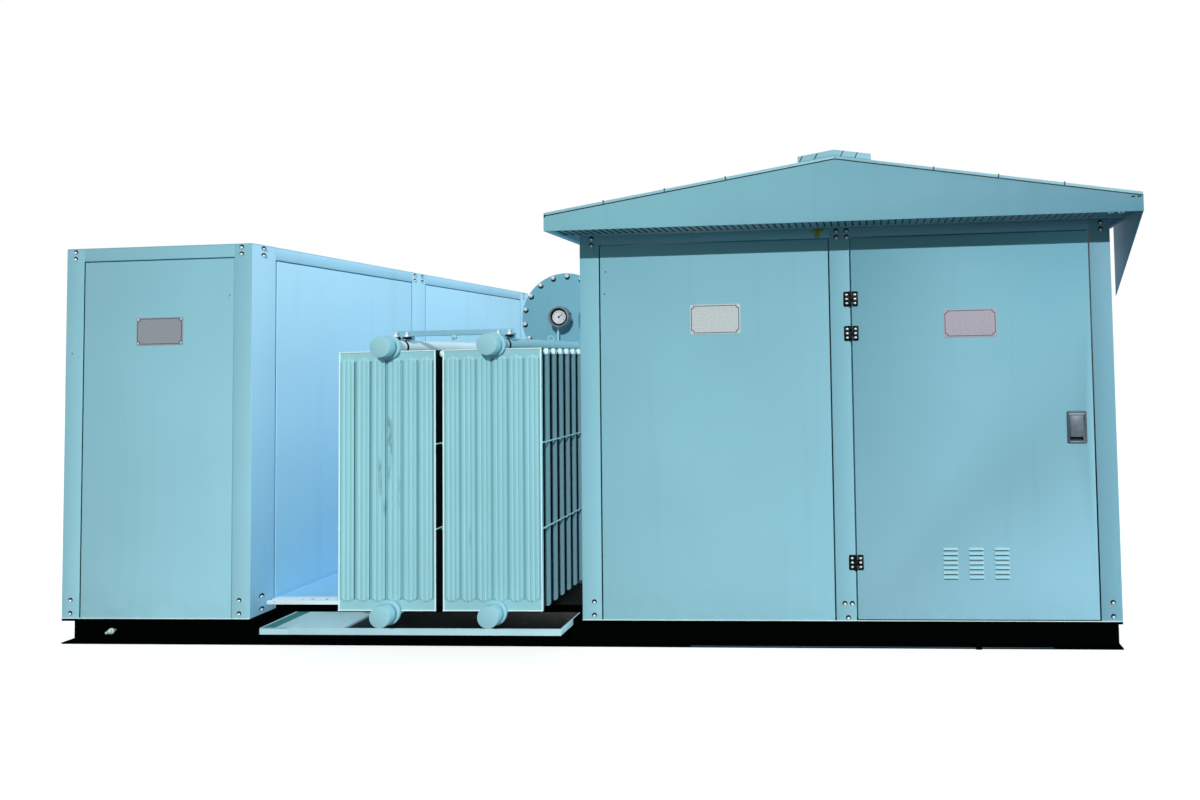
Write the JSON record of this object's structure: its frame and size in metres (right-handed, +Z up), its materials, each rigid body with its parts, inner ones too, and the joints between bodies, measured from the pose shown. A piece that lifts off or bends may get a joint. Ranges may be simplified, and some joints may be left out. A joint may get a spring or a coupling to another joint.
{
  "type": "compact substation",
  "caption": "Outdoor compact substation on a channel base: flat-topped low-voltage cabinet, open oil transformer bay with panel radiators, and gabled high-voltage cabinet with a hinged door.",
  "frame": {"origin": "on the ground, under the middle of the outline", "axes": "+X along the base from the low-voltage cabinet to the high-voltage cabinet, -Y out of the front, +Z up"},
  "size_m": [5.841, 3.02, 2.52],
  "materials": {
    "bare_steel": "zinc-plated steel",
    "base_paint": "satin black paint",
    "cabinet_paint": "satin turquoise-blue powder coat",
    "gauge_metal": "cast aluminium dial housing",
    "handle_grey": "satin grey",
    "hinge_black": "matt black",
    "radiator_paint": "satin turquoise-blue paint, light dirt streaks",
    "roof_paint": "satin turquoise-blue powder coat",
    "tank_paint": "satin turquoise-blue paint",
    "tray_paint": "satin pale blue paint"
  },
  "bodies": {
    "root": {"base_cross_beams": "base_paint", "base_end_beams": "base_paint", "base_front_beam": "base_paint", "base_rear_beam": "base_paint", "bay_bearers": "base_paint", "bay_floor": "base_paint", "conservator_ends": "tank_paint", "conservator_legs": "tank_paint", "conservator_shell": "tank_paint", "drip_tray_front": "tray_paint", "drip_tray_rear": "tray_paint", "earthing_stud": "bare_steel", "eave_boards": "roof_paint", "gable_front": "roof_paint", "gable_rear": "roof_paint", "hv_ceiling": "roof_paint", "hv_corner_posts": "cabinet_paint", "hv_door_posts": "cabinet_paint", "hv_floor": "base_paint", "hv_front_panel": "cabinet_paint", "hv_rear_panels": "cabinet_paint", "hv_side_panels": "cabinet_paint", "hv_side_posts": "cabinet_paint", "hv_throat": "tank_paint", "hv_top_rails": "cabinet_paint", "lv_corner_posts": "cabinet_paint", "lv_floor": "base_paint", "lv_front_panel": "cabinet_paint", "lv_rear_panel": "cabinet_paint", "lv_roof": "roof_paint", "lv_side_panels": "cabinet_paint", "lv_side_posts": "cabinet_paint", "lv_throat": "tank_paint", "lv_top_rails": "cabinet_paint", "oil_level_gauge": "gauge_metal", "post_hinge_leaves": "hinge_black", "radiator_braces": "radiator_paint", "radiator_front_left": "radiator_paint", "radiator_front_right": "radiator_paint", "radiator_headers": "radiator_paint", "radiator_rear_left": "radiator_paint", "radiator_rear_right": "radiator_paint", "radiator_spacers": "radiator_paint", "ridge_cap": "roof_paint", "roof_left": "roof_paint", "roof_right": "roof_paint", "tank": "tank_paint", "tank_cover": "tank_paint", "tank_foot_plate": "tray_paint", "tank_ribs": "tank_paint"},
    "hv_door": {"hv_door": "cabinet_paint", "door_hinge_leaves": "hinge_black", "handle_cup": "handle_grey", "door_louvres": "cabinet_paint"},
    "door_handle": {"handle_paddle": "handle_grey"}
  },
  "joints": [
    {"name": "hv_door_hinge", "type": "hinge", "parent": "root", "child": "hv_door", "pos_m": [1.51, -1.28, 1.14], "axis": [0, 0, -1], "range_deg": [0, 120]},
    {"name": "handle_lift", "type": "hinge", "parent": "hv_door", "child": "door_handle", "pos_m": [2.6485, -1.27, 1.1815], "axis": [-1, 0, 0], "range_deg": [0, 35], "stiffness_Nm_per_rad": 1}
  ]
}
